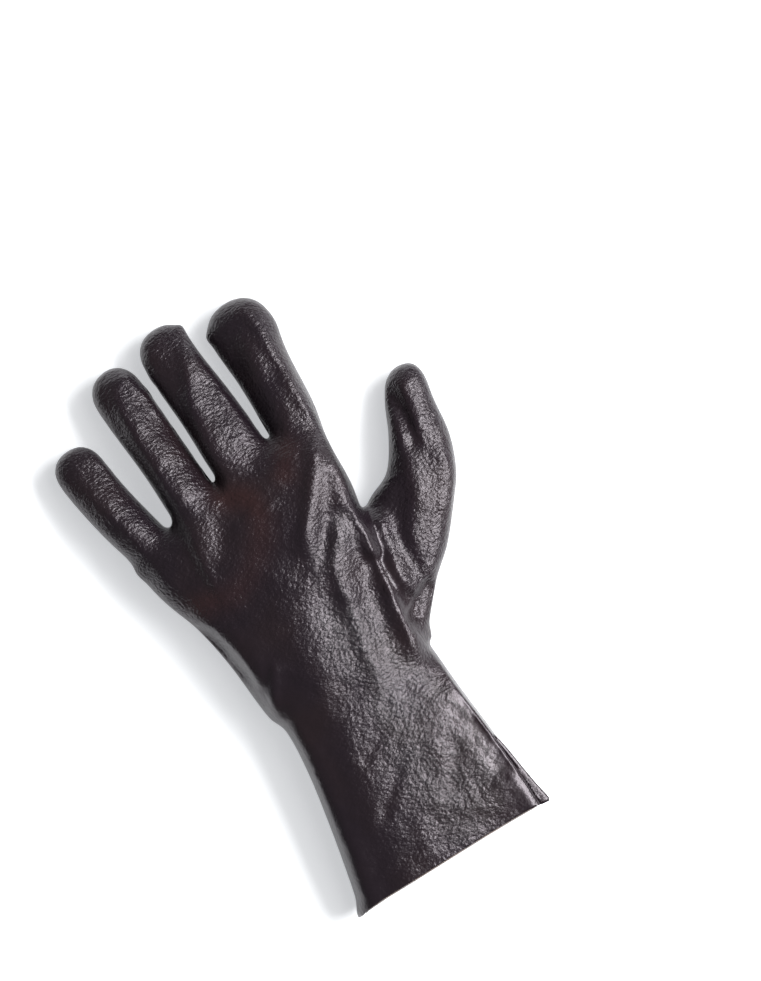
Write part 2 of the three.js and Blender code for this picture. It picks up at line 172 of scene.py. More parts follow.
# rows: along, left, right, height
FINGERS = [
    dict(length=LITTLE_LENGTH, width=LITTLE_WIDTH, thickness=FINGER_THICKNESS * LITTLE_SHARE,
         root=-0.458, rise=0.46, lean=22, bend=-14, tip=0.5, crest=-0.12,
         rows=[(0, 0.4, 0.46, 0.95), (0.34, 0.48, 0.49, 1.25), (0.62, 0.5, 0.49, 1.08),
               (0.82, 0.5, 0.5, 0.98), (1, 0.47, 0.47, 0.92)]),
    dict(length=RING_LENGTH, width=RING_WIDTH, thickness=FINGER_THICKNESS, root=-0.237,
         rise=0.57, lean=5.5, bend=1, tip=0.52, crest=-0.14,
         rows=[(0, 0.5, 0.5, 1.05), (0.22, 0.49, 0.49, 1.3), (0.45, 0.47, 0.47, 1.14),
               (0.8, 0.51, 0.46, 1.0), (1, 0.48, 0.42, 0.95)]),
    dict(length=MIDDLE_LENGTH, width=MIDDLE_WIDTH, thickness=FINGER_THICKNESS, root=0.031,
         rise=0.58, lean=4.5, bend=3, tip=0.46, crest=-0.14,
         rows=[(0, 0.5, 0.5, 1.05), (0.24, 0.53, 0.525, 1.3), (0.52, 0.5, 0.5, 1.12),
               (0.78, 0.5, 0.45, 1.0), (1, 0.44, 0.47, 0.95)]),
    dict(length=INDEX_LENGTH, width=INDEX_WIDTH, thickness=FINGER_THICKNESS, root=0.29,
         rise=0.5, lean=0, bend=1.5, tip=0.46, crest=0.1,
         rows=[(0, 0.43, 0.34, 0.85), (0.25, 0.46, 0.46, 1.28), (0.55, 0.49, 0.49, 1.1),
               (0.8, 0.56, 0.54, 1.02), (1, 0.52, 0.5, 0.97)]),
    dict(length=WEB_LENGTH, width=WEB_WIDTH, thickness=WEB_THICKNESS, thumb=True, root=0.29,
         rise=0.42, lean=-14, bend=6, tip=0.5, crest=0,
         rows=[(0, 0.4, 0.4, 0.9), (0.5, 0.5, 0.5, 1.0), (1, 0.45, 0.45, 0.9)]),
    dict(length=THUMB_LENGTH, width=THUMB_WIDTH, thickness=THUMB_THICKNESS, thumb=True, root=0.261,
         rise=0.4, lean=-39, bend=22, tip=0.34, crest=0.02, full=2.6,
         rows=[(0, 0.35, 0.24, 0.85), (0.24, 0.5, 0.28, 0.95), (0.36, 0.66, 0.4, 1.0),
               (0.46, 0.79, 0.46, 1.02), (0.53, 0.71, 0.5, 1.03), (0.61, 0.48, 0.54, 1.04),
               (0.74, 0.4, 0.48, 1.0), (0.87, 0.39, 0.31, 0.9), (1, 0.3, 0.22, 0.82)]),
]

# Ways of more than one fold: points across from the hem's middle and up from the hem
RIDGE_WAY = [(5, 166), (13, 178), (20, 188), (27, 198), (34, 208), (41.5, 219)]
CUFF_WAY = [(54, -20), (53, 0), (52, 18), (50.3, 33), (49, 45), (47.5, 62), (45, 78), (42.5, 94)]

# Folds over the back. lift is a fold's height, and left and right are how far it reaches to
# either side, seen along its way.
FOLDS = [
    # name, lift, left, right, way
    ("back rise", 1.6, 20.0, 9.0, RIDGE_WAY),
    ("palm shoulder", 4.5, 8.0, 5.0, [(33, 92), (33.5, 112), (34, 132), (35.5, 150)]),
    ("palm edge", 5.5, 5.0, 3.0, [(37.5, 148), (39.5, 160), (41, 170), (42, 180)]),
    ("index base", 4.0, 10.0, 3.0, [(41.5, 176), (42.5, 190), (43, 206)]),
    ("cuff edge", 5.0, 20.0, 4.0, CUFF_WAY),
    ("cuff rim", 4.2, 7.0, 3.0, CUFF_WAY),
    ("cuff low rise", 2.2, 18.0, 7.0, [(47, -12), (45.5, 10), (43, 28)]),
    ("ulnar edge", 5.0, 5.0, 9.0,
     [(-50, -20), (-49, 10), (-47, 30), (-44, 60), (-42.5, 85), (-43, 104)]),
    ("cuff seam", 0.9, 1.5, 1.3,
     [(53, -12), (51.6, 4), (49.6, 18), (48, 28), (46.5, 42), (44, 60), (41.5, 80), (39, 98),
      (36, 112)]),
    ("knuckle ridge", 1.7, 4.0, 5.6, RIDGE_WAY),
    ("main crest", 1.4, 12.0, 13.0,
     [(-33, 8), (-28, 28), (-21, 58), (-18, 88), (-14, 118), (-12, 138), (-9, 149), (-1, 158),
      (5, 167)]),
    ("diagonal valley", -1.5, 4.0, 6.0,
     [(14, 158), (21, 173), (29, 185.5), (36.5, 198), (41, 207)]),
    ("tendon ridge", 1.5, 5.5, 7.0, [(9, 88), (11, 104), (12.5, 118), (15.5, 132), (17, 148)]),
    ("tendon head", 2.2, 5.0, 9.0, [(15.5, 132), (17, 148), (20, 158), (25, 167), (32, 176)]),
    ("seam ridge", 1.7, 5.0, 1.8,
     [(38, 90), (35.5, 116), (36, 128), (36.5, 143), (37.5, 158), (41, 175)]),
    ("web fill", 5.0, 7.0, 9.0, [(41, 125), (42.5, 138), (43.5, 150), (45, 160), (47, 173)]),
    ("web ridge", 1.1, 3.0, 4.0, [(46, 125), (44.5, 136), (45.5, 148), (47, 158), (48.5, 170)]),
    ("web side valley", -1.0, 4.5, 4.5, [(51, 130), (52.5, 145), (53, 158), (54, 170)]),
    ("web hollow", -1.5, 3.0, 3.0, [(42, 121), (44, 127)]),
    ("thumb side step", -4.5, 1.6, 8.0, [(37, 112), (41, 118), (48, 123.5), (57, 129)]),
    ("thumb shoulder", 2.2, 8.0, 4.0, [(80, 148), (88, 160), (93, 172), (96, 184)]),
    ("thumb crest", 2.0, 5.0, 8.0,
     [(56, 138), (59, 150), (65, 162), (71, 171), (74, 183), (74.5, 198), (77, 213)]),
    ("thumb valley", -1.8, 4.0, 3.0, [(80, 186), (83, 198), (83.5, 212), (84, 224)]),
    ("thumb side ridge", 1.8, 3.0, 6.0, [(85, 192), (88, 202), (89.5, 213), (90, 224)]),
    ("little crest", 1.8, 4.0, 10.0, [(-57, 182), (-60, 193), (-64, 218), (-71, 238), (-75, 258)]),
    ("ring crest", 2.7, 3.5, 11.0,
     [(-38, 166), (-39, 180), (-38, 198), (-37, 218), (-38, 248), (-39, 273), (-35, 293)]),
    ("middle crest", 2.4, 4.0, 9.0, [(-11, 212), (-10, 233), (-7, 258), (0, 278), (3, 293)]),
    ("index crest", 1.9, 6.0, 8.0, [(29, 222), (29, 240), (30, 258), (34, 283)]),
    ("index edge", 1.8, 3.5, 4.2,
     [(42.5, 216), (43.3, 225), (42, 243), (41.5, 258), (40.5, 278), (37.5, 294)]),
    ("ring edge", 1.8, 4.0, 2.2, [(-22, 263), (-23.5, 270), (-27, 282), (-31, 293)]),
    ("middle edge", 1.6, 4.0, 2.4, [(15, 229), (13.5, 235), (11, 250), (7.5, 278), (4.5, 293)]),
    ("little edge", 1.0, 4.0, 1.2, [(-56, 243), (-58, 255), (-62, 265)]),
    ("ring crease", -0.4, 1.6, 1.6, [(-42, 212), (-30, 218), (-18, 216)]),
    ("middle crease", -0.35, 1.6, 1.6, [(-10, 214), (2, 217), (15, 214)]),
    ("knuckle dent", -1.5, 6.0, 6.0, [(-15, 213), (-10, 198)]),
    ("ring root side", -1.6, 6.0, 6.0, [(-38, 178), (-28, 190), (-17, 208)]),
    ("knuckle bump", 1.0, 4.0, 4.0, [(2, 199), (3, 196)]),
    ("heel ridge", 1.8, 3.0, 4.0, [(-46, 104), (-38, 118), (-30, 129)]),
    ("heel shoulder", 3.0, 2.0, 9.0,
     [(-43, 118), (-44, 136), (-47, 148), (-50, 158), (-55, 164), (-60, 168)]),
    ("heel strip", -5.0, 5.0, 1.8, [(-47, 122), (-50, 136), (-53, 150), (-58, 162)]),
    ("cuff crease", -0.8, 4.0, 2.5, [(-22, 30), (-17, 38), (-9, 46), (0, 53)]),
    ("upper cuff crease", -0.7, 4.0, 2.5, [(-19, 62), (-10, 67), (0, 73)]),
    ("cuff dip", -0.9, 6.0, 6.0, [(10, 25), (20, 38), (30, 53)]),
]

# The hem's line: across and up from its middle
HEM = [
    (-90, -7), (-57, -4.6), (-50, -2.6), (-40, -1.2), (-30, -0.5),
    (0, 1.3), (30, 2.7), (48, 3), (56, 2), (90, 2),
]

# The seam fin's outer edge: up from the hem and across
SEAM = [
    (-3, 52), (1, 53.8), (2, 55.6), (3.5, 56.3), (6, 55.8),
    (13, 54), (23, 52), (34, 50), (41, 48.4), (46, 46.4),
]
SEAM_ROOT = 8  # how far its root reaches into the cuff's side
SEAM_LIFT = 11.8  # how far above the cuff's widest line it runs
SEAM_TILT = 0.12  # how far it falls for each millimetre outwards
SEAM_THICKNESS = 2
SEAM_FULLNESS = 3.2
SEAM_SIDES = 20

# The stitches that show beside the fin
STITCH_LINE = [(52, 3), (51, 8), (49.5, 18), (48, 28), (46.5, 42), (44, 60)]
STITCH_SAMPLES = 60
STITCH_START = 1
STITCH_STEP = 1.6
STITCH_LENGTH = 1.1
STITCH_WIDTH = 0.8
STITCH_HEIGHT = 0.35
STITCH_SIDES = 10
STITCH_RINGS = 5
STITCH_TILT = 1.2  # how far its end rings turn from its middle, in radians
STITCH_SEARCH = 100  # the height from which the skin is looked for

# The coating's look
COATING_DARK = (0.012, 0.0078, 0.0112, 1)
COATING_LIGHT = (0.0155, 0.0095, 0.0115, 1)
COATING_BROWN = (0.034, 0.0135, 0.013, 1)
COATING_TINT = (1, 0.93, 0.99, 1)
COATING_ROUGHNESS = 0.26
COATING_IOR = 1.5
PATCH_SCALE = 28
PATCH_RANGE = (0.42, 0.68)
PEBBLE_SCALE = 720
PEBBLE_STRETCH = (0.65, 1, 1)
PEBBLE_MIDDLE = 0.5
PEBBLE_DEPTH = 0.0007

# The liner's look, with the knit's columns and rows of loops as the wave texture counts them
WALE_SCALE = 240
COURSE_SCALE = 300
YARN_UNEVEN = 1.5
FUZZ_SCALE = 2500
FUZZ_SHARE = 0.25
KNIT_DEPTH = 0.0006
LINER_DARK = (0.22, 0.17, 0.15, 1)
LINER_LIGHT = (0.56, 0.47, 0.42, 1)
LINER_ROUGHNESS = 0.95
LINER_SHEEN = 0.4

# Where the coating over the knuckles is rubbed brown: a line and how far the patch reaches from it
RUBBED = [
    ([(-52, 170), (-34, 168), (-16, 176), (-4, 192), (-5, 206), (-16, 212)], 7),
    ([(17, 208), (24, 220)], 6),
]

# Where the coating is smoother: a line and its reach, and the share of the pebble that goes
SMOOTH = [
    ([(50, -8), (45, 40), (42, 62)], 13),
    ([(39, 120), (41, 150), (43, 168)], 4),
    ([(-46, 0), (-40, 40), (-36, 90), (-40, 140)], 14),
]
SMOOTH_SHARE = 0.7

# Pushes in plan, which set the outline: place, reach, and how far the spot moves across and up.
PUSHES = [
    (-55, -3, 5, -2.0, 0),
    (-23, 279, 4, 0.7, 0),
    (-21, 281, 4, -0.7, 0),
    (16, 286, 4, -1.2, 0.4),
    (6, 297, 3, 1.2, 1.0),
    (-71, 200, 6, -2.0, 0),
    (49, 278, 8, 1.2, 0),
]


def mm(points):
    """Raw millimetres as metres in the frame."""
    out = np.array(points, float)
    out[:, 0] += HEM_MIDDLE[0]
    out[:, 1] += HEM_MIDDLE[1]
    return out * MM


def column(places, values, at):
    """A table's column on a smooth curve through its rows, as in the CAD."""
    places = np.asarray(places, float)
    values = np.asarray(values, float)
    at = np.asarray(at, float)
    last = len(places) - 1
    i = np.clip(np.searchsorted(places, at, side="right") - 1, 0, last - 1)

    def slope(a, b):
        return (values[b] - values[a]) / (places[b] - places[a])

    span = places[i + 1] - places[i]
    t = np.clip((at - places[i]) / span, 0, 1)
    leaving = slope(np.maximum(i - 1, 0), i + 1) * span
    arriving = slope(i, np.minimum(i + 2, last)) * span
    return (
        (2 * t**3 - 3 * t**2 + 1) * values[i]
        + (t**3 - 2 * t**2 + t) * leaving
        + (3 * t**2 - 2 * t**3) * values[i + 1]
        + (t**3 - t**2) * arriving
    )


def power(value, full):
    """A sine or cosine for a superellipse: at 2 a circle, above it squarer."""
    return np.sign(value) * np.abs(value) ** (2 / full)


def body_columns():
    """BODY_SECTIONS as columns of lengths."""
    rows = []
    for zone, along, left, right, side, top, crest, full, slant in BODY_SECTIONS:
        start, length, width, height = zone
        rows.append((start + along * length, left * width, right * width, side * height,
                     top * height, crest * width, full, slant))
    return np.array(rows).T


def body_rings():
    """The cuff and hand as rings from below the hem to the line between the fingers."""
    places, *table = body_columns()
    end = CUFF_LENGTH + PALM_LENGTH
    nose_start = end - PALM_NOSE
    stations = [(s, 1) for s in np.arange(-HEM_SPARE, nose_start, RING_STEP)]
    for i in range(TIP_STEPS + 1):
        turn = i / (TIP_STEPS + TIP_SPARE) * math.pi / 2
        stations.append((nose_start + PALM_NOSE * math.sin(turn), max(math.cos(turn), NOSE_FLAT)))
    turn = np.linspace(0, 2 * np.pi, BODY_SIDES, endpoint=False)
    across, facing = np.cos(turn), np.sin(turn)
    rings = []
    for along, flat in stations:
        left, right, side, top, crest, full, slant = [
            float(column(places, c, max(along, 0))) for c in table
        ]
        x = (left + right) / 2 + (right - left) / 2 * power(across, full)
        x = x + crest * np.maximum(facing, 0) ** 2
        y = along + slant * x
        height = np.where(facing > 0, (top - side) * flat, (side + REST_SINK) * flat)
        z = side + height * power(facing, full)
        rings.append(np.stack([x, y, np.maximum(z, 0)], 1))
    return rings


def finger_rings(finger):
    """A finger as rings from inside the palm to its tip."""
    whole = finger["length"] + (0 if finger.get("thumb") else ROOT_DEPTH)
    width, thickness = finger["width"], finger["thickness"]
    full = finger.get("full", FINGER_FULLNESS)
    tip_start = 1 - finger["tip"] * width / whole
    places = [(a, 1) for a in np.arange(0, tip_start, RING_STEP / whole)]
    for i in range(TIP_STEPS + 1):
        share = math.sin(i / (TIP_STEPS + TIP_SPARE) * math.pi / 2)
        flat = (1 - share**TIP_FULLNESS) ** (1 / TIP_FULLNESS)
        places.append((tip_start + (1 - tip_start) * share, flat))
    rows = np.array(finger["rows"]).T
    x0 = finger["root"] * PALM_WIDTH
    y0 = CUFF_LENGTH + PALM_LENGTH + KNUCKLE_SLANT * x0 - ROOT_DEPTH
    if finger.get("thumb"):
        y0 = CUFF_LENGTH + THUMB_ROOT_ALONG * PALM_LENGTH
    start = math.radians(finger["lean"])
    root_height = finger["rise"] * PALM_HEIGHT
    turn = np.linspace(0, 2 * np.pi, FINGER_SIDES, endpoint=False)
    across, facing = np.cos(turn), np.sin(turn)
    rings = []
    for along, flat in places:
        bend = math.radians(finger["bend"]) * along
        bow = whole * along / bend if bend else 0
        cx = x0 - bow * (math.cos(start) - math.cos(start + bend))
        cy = y0 + bow * (math.sin(start + bend) - math.sin(start))
        cz = root_height + (thickness / 2 - root_height) * along**FINGER_DROOP
        left, right, height = [float(column(rows[0], rows[k], along)) for k in (1, 2, 3)]
        reach = np.where(across > 0, right, left) * width * flat
        side = power(across, full) * reach
        side = side + finger["crest"] * width * flat * np.maximum(facing, 0) ** 2
        x = cx + side * math.cos(start + bend)
        y = cy + side * math.sin(start + bend)
        z = cz + height * thickness / 2 * flat * power(facing, full)
        rings.append(np.stack([x, y, np.maximum(z, 0)], 1))
    return rings


def loft(name, rings):
    """A closed mesh object over rings of equal count."""
    count = len(rings[0])
    points = np.concatenate(rings + [rings[0].mean(0)[None], rings[-1].mean(0)[None]])
    faces = []
    for r in range(len(rings) - 1):
        for i in range(count):
            j = (i + 1) % count
            faces.append((r * count + i, r * count + j, (r + 1) * count + j, (r + 1) * count + i))
    low, high, top = len(points) - 2, len(points) - 1, (len(rings) - 1) * count
    for i in range(count):
        j = (i + 1) % count
        faces.append((j, i, low))
        faces.append((top + i, top + j, high))
    return mesh_object(name, mm(points), faces)


def mesh_object(name, points, faces):
    mesh = bpy.data.meshes.new(name)
    mesh.from_pydata([tuple(p) for p in points], [], faces)
    obj = bpy.data.objects.new(name, mesh)
    bpy.context.scene.collection.objects.link(obj)
    return obj


def baked(obj):
    """Applies an object's modifiers to its mesh."""
    depsgraph = bpy.context.evaluated_depsgraph_get()
    made = bpy.data.meshes.new_from_object(obj.evaluated_get(depsgraph))
    obj.modifiers.clear()
    obj.data = made
    return obj


def joined(objects):
    """One object with the meshes of several, the first one's name kept."""
    points, faces, base = [], [], 0
    for obj in objects:
        points += [tuple(v.co) for v in obj.data.vertices]
        faces += [tuple(base + i for i in p.vertices) for p in obj.data.polygons]
        base += len(obj.data.vertices)
    name = objects[0].name
    for obj in objects:
        bpy.data.objects.remove(obj)
    return mesh_object(name, points, faces)


def remeshed(obj, size):
    """An object's mesh made anew as one even skin."""
    mod = obj.modifiers.new("remesh", "REMESH")
    mod.mode = "VOXEL"
    mod.voxel_size = size * MM
    mod.adaptivity = 0
    return baked(obj)


def points_of(obj):
    out = np.empty(len(obj.data.vertices) * 3)
    obj.data.vertices.foreach_get("co", out)
    return out.reshape(-1, 3)


def normals_of(obj):
    obj.data.update()
    out = np.empty(len(obj.data.vertices) * 3)
    obj.data.vertex_normals.foreach_get("vector", out)
    return out.reshape(-1, 3)


def set_points(obj, points):
    obj.data.vertices.foreach_set("co", points.ravel())
    obj.data.update()


def smoothed(obj, passes, weight=None):
    """Moves each vertex towards the middle of its neighbours, each by a weight of its own."""
    edges = np.empty(len(obj.data.edges) * 2, int)
    obj.data.edges.foreach_get("vertices", edges)
    a, b = edges.reshape(-1, 2).T
    points = points_of(obj)
    count = np.bincount(a, minlength=len(points)) + np.bincount(b, minlength=len(points))
    share = 0.5 * (np.ones(len(points)) if weight is None else weight)[:, None]
    for _ in range(passes):
        total = np.stack([
            np.bincount(a, points[b, k], len(points)) + np.bincount(b, points[a, k], len(points))
            for k in range(3)
        ], 1)
        points = points + share * (total / count[:, None] - points)
    set_points(obj, points)


def spline(points, count=24):
    """A smooth curve through points."""
    points = np.array(points, float)
    padded = np.concatenate([2 * points[:1] - points[1:2], points, 2 * points[-1:] - points[-2:-1]])
    out = []
    for i in range(len(points) - 1):
        p0, p1, p2, p3 = padded[i : i + 4]
        for t in np.linspace(0, 1, count // (len(points) - 1) + 1, endpoint=False):
            most = 2 * p1 + (p2 - p0) * t + (2 * p0 - 5 * p1 + 4 * p2 - p3) * t**2
            out.append(0.5 * (most + (3 * p1 - p0 - 3 * p2 + p3) * t**3))
    out.append(points[-1])
    return np.array(out)


def to_line(spots, line):
    """Each spot's distance from a line, its side (1 is left) and its place along it (0 to 1)."""
    best = np.full(len(spots), np.inf)
    side = np.ones(len(spots))
    place = np.zeros(len(spots))
    lengths = np.linalg.norm(np.diff(line, axis=0), axis=1)
    starts = np.concatenate([[0], np.cumsum(lengths)])
    for i, (p, q) in enumerate(zip(line[:-1], line[1:])):
        way = (q - p) / lengths[i]
        t = np.clip((spots - p) @ way, 0, lengths[i])
        off = spots - p - t[:, None] * way
        far = np.hypot(off[:, 0], off[:, 1])
        near = far < best
        best[near] = far[near]
        cross = way[0] * (spots[:, 1] - p[1]) - way[1] * (spots[:, 0] - p[0])
        side[near] = np.sign(cross)[near]
        place[near] = ((starts[i] + t) / starts[-1])[near]
    return best, side, place


def fold_lift(spots):
    """How far the folds lift each spot of the back, in millimetres."""
    lift = np.zeros(len(spots))
    for _, height, left, right, points in FOLDS:
        line = spline(points)
        reach = FOLD_CLEAR * max(left, right)
        low, high = line.min(0) - reach, line.max(0) + reach
        near = np.where(((spots > low) & (spots < high)).all(1))[0]
        far, side, place = to_line(spots[near], line)
        width = np.where(side > 0, left, right)
        ends = np.clip(np.minimum(place, 1 - place) * FOLD_RISE + FOLD_END, 0, 1)
        lift[near] += height * np.exp(-((far / width) ** 2)) * ends
    return lift


def raw(points):
    """The frame's metres as raw millimetres, the other way round from mm."""
    out = points / MM
    out[:, 0] -= HEM_MIDDLE[0]
    out[:, 1] -= HEM_MIDDLE[1]
    return out


def near_line(spots, points, reach):
    """1 on a line and falling to 0 away from it."""
    far, _, _ = to_line(spots, spline(points))
    return np.exp(-((far / reach) ** 2))


def lumps(points):
    """The coating's uneven swells and cross ripples, in millimetres."""
    wide = (SWELL_SPAN, SWELL_SPAN, SWELL_SPAN)
    fine = (RIPPLE_SPAN, RIPPLE_STEP, RIPPLE_SPAN)
    swell = [noise.noise(Vector(point / wide)) for point in points]
    ripple = [noise.noise(Vector(point / fine)) for point in points]
    return SWELL_HEIGHT * np.array(swell) + RIPPLE_HEIGHT * np.array(ripple)


def pushed(spots):
    """How far each spot moves in plan, in millimetres."""
    out = np.zeros((len(spots), 2))
    for x, y, reach, across, up in PUSHES:
        share = np.exp(-((spots[:, 0] - x) ** 2 + (spots[:, 1] - y) ** 2) / reach**2)
        out += share[:, None] * [across, up]
    return out


def build_outside():
    """The whole coated surface: its forms melted together, folded and lumped."""
    parts = [loft("coating", body_rings())]
    parts += [loft(f"finger_{i}", finger_rings(f)) for i, f in enumerate(FINGERS)]
    glove = remeshed(joined(parts), VOXEL)
    smoothed(glove, SETTLE_PASSES)
    spots = raw(points_of(glove))[:, :2]
    blend = near_line(spots, KNUCKLE_LINE, KNUCKLE_MELT) + near_line(spots, WEB_LINE, WEB_MELT)
    top = np.clip(normals_of(glove)[:, 2] / MELT_FACING, 0, 1)
    smoothed(glove, MELT_PASSES, np.clip(blend * top, 0, 1))
    points = points_of(glove)
    spots = raw(points)[:, :2]
    top = np.clip((normals_of(glove)[:, 2] - FOLD_FACING) / FOLD_FACING_SPAN, 0, 1)
    lift = fold_lift(spots) + lumps(points / MM)
    points[:, 2] += lift * top * MM
    points[:, :2] += pushed(spots) * MM
    set_points(glove, points)
    smoothed(glove, 1)
    return glove


def seam_fin():
    """The welded seam allowance along the thumb's side of the cuff, a thin fin."""
    turn = np.linspace(0, 2 * np.pi, SEAM_SIDES, endpoint=False)
    places, _, right, side, *_ = body_columns()
    rings = []
    for up, outer in SEAM:
        inner = float(column(places, right, max(up, 0))) - SEAM_ROOT
        level = float(column(places, side, max(up, 0))) + SEAM_LIFT
        x = (inner + outer) / 2 + (outer - inner) / 2 * power(np.cos(turn), SEAM_FULLNESS)
        z = level + SEAM_THICKNESS / 2 * power(np.sin(turn), SEAM_FULLNESS)
        z = z - SEAM_TILT * (x - inner)
        rings.append(np.stack([x, np.full(SEAM_SIDES, up), z], 1))
    return loft("seam", rings)


def skin_of(obj):
    """A mesh's surface, in which to look for the nearest point or where a ray meets it."""
    faces = [p.vertices for p in obj.data.polygons]
    return BVHTree.FromPolygons([v.co for v in obj.data.vertices], faces)


def seam_stitches(glove):
    """The stitches that show through the coating beside the fin, as small swells on it."""
    skin = skin_of(glove)
    line = spline(STITCH_LINE, STITCH_SAMPLES)
    lengths = np.concatenate([[0], np.cumsum(np.linalg.norm(np.diff(line, axis=0), axis=1))])
    turn = np.linspace(0, 2 * np.pi, STITCH_SIDES, endpoint=False)
    stitches = []
    for place in np.arange(STITCH_START, lengths[-1], STITCH_STEP):
        x, y = [np.interp(place, lengths, line[:, k]) for k in (0, 1)]
        start = Vector(mm([(x, y, STITCH_SEARCH)])[0])
        hit = skin.ray_cast(start, Vector((0, 0, -1)))[0]
        if hit is None:
            continue
        level = hit[2] / MM
        rings = []
        for tilt in np.linspace(-STITCH_TILT, STITCH_TILT, STITCH_RINGS):
            reach = math.cos(tilt)
            rings.append(np.stack([
                x + STITCH_WIDTH / 2 * reach * np.cos(turn),
                np.full(STITCH_SIDES, y + STITCH_LENGTH / 2 * math.sin(tilt)),
                level + STITCH_HEIGHT * reach * np.sin(turn),
            ], 1))
        stitches.append(loft("stitch", rings))
    return joined(stitches)


def cutter(name, low, high):
    """A block to cut with, whose near face follows the hem."""
    xs, hem = spline(HEM).T
    points = []
    for z in (CUT_LOW, CUT_HIGH):
        points += [(x, y + high, z) for x, y in zip(xs, hem)]
        points += [(x, y + low, z) for x, y in zip(xs[::-1], hem[::-1])]
    count = len(points) // 2
    faces = [tuple(range(count)), tuple(range(count, 2 * count))[::-1]]
    faces += [((i + 1) % count, i, count + i, count + (i + 1) % count) for i in range(count)]
    return mesh_object(name, mm(points), faces)


def cut(obj, other, operation="DIFFERENCE"):
    """Cuts an object by another, or joins or keeps what they share."""
    mod = obj.modifiers.new("cut", "BOOLEAN")
    mod.operation = operation
    mod.object = other
    mod.solver = "MANIFOLD"
    baked(obj)


def shrunk(obj, name, depth):
    """A coarser copy of a closed mesh, moved inwards by a depth."""
    copy = bpy.data.objects.new(name, obj.data.copy())
    bpy.context.scene.collection.objects.link(copy)
    remeshed(copy, INNER_VOXEL)
    smoothed(copy, SHRINK_SETTLE)
    for _ in range(SHRINK_STEPS):
        points = points_of(copy) - normals_of(copy) * depth / SHRINK_STEPS * MM
        set_points(copy, points)
        smoothed(copy, 1)
    skin = skin_of(obj)
    for _ in range(CLAMP_PASSES):
        points = points_of(copy)
        for i, point in enumerate(points):
            near, normal, _, _ = skin.find_nearest(Vector(point))
            inside = (near - Vector(point)).dot(normal)
            if inside < depth * MM:
                points[i] = near - normal * depth * MM
        set_points(copy, points)
    return copy


def principled(material):
    return material.node_tree.nodes["Principled BSDF"]


def coating_material():
    """Black PVC: pebbled over the knit, with smoother and browner patches."""
    material = bpy.data.materials.new("coating")
    material.use_nodes = True
    nodes, links = material.node_tree.nodes, material.node_tree.links
    bsdf = principled(material)
    bsdf.inputs["Roughness"].default_value = COATING_ROUGHNESS
    bsdf.inputs["IOR"].default_value = COATING_IOR
    bsdf.inputs["Specular Tint"].default_value = COATING_TINT
    coords = nodes.new("ShaderNodeTexCoord")

    def texture(kind, scale, **values):
        node = nodes.new(kind)
        node.inputs["Scale"].default_value = scale
        for name, value in values.items():
            node.inputs[name].default_value = value
        links.new(coords.outputs["Object"], node.inputs["Vector"])
        return node

    def blend(kind, first, second):
        node = nodes.new("ShaderNodeMath")
        node.operation = kind
        for socket, value in zip(node.inputs, (first, second)):
            if isinstance(value, (int, float)):
                socket.default_value = value
            else:
                links.new(value, socket)
        return node.outputs[0]

    patches = texture("ShaderNodeTexNoise", PATCH_SCALE, Detail=2)
    tint = nodes.new("ShaderNodeValToRGB")
    ends = zip(tint.color_ramp.elements, PATCH_RANGE, (COATING_DARK, COATING_LIGHT))
    for end, position, shade in ends:
        end.position = position
        end.color = shade
    links.new(patches.outputs["Fac"], tint.inputs["Fac"])
    rubbed = nodes.new("ShaderNodeAttribute")
    rubbed.attribute_name = "rubbed"
    colour = nodes.new("ShaderNodeMix")
    colour.data_type = "RGBA"
    share = blend("MULTIPLY", rubbed.outputs["Fac"], patches.outputs["Fac"])
    links.new(share, colour.inputs["Factor"])
    links.new(tint.outputs["Color"], colour.inputs["A"])
    colour.inputs["B"].default_value = COATING_BROWN
    links.new(colour.outputs["Result"], bsdf.inputs["Base Color"])

    mapping = nodes.new("ShaderNodeMapping")
    mapping.inputs["Scale"].default_value = PEBBLE_STRETCH
    links.new(coords.outputs["Object"], mapping.inputs["Vector"])
    pebble = texture("ShaderNodeTexNoise", PEBBLE_SCALE, Detail=3, Roughness=0.5, Distortion=0.2)
    links.new(mapping.outputs["Vector"], pebble.inputs["Vector"])
    grain = nodes.new("ShaderNodeAttribute")
    grain.attribute_name = "grain"
    swing = blend("SUBTRACT", pebble.outputs["Fac"], PEBBLE_MIDDLE)
    height = blend("MULTIPLY", swing, grain.outputs["Fac"])
    bump = nodes.new("ShaderNodeBump")
    bump.inputs["Strength"].default_value = 1
    bump.inputs["Distance"].default_value = PEBBLE_DEPTH
    links.new(height, bump.inputs["Height"])
    links.new(bump.outputs["Normal"], bsdf.inputs["Normal"])
    return material


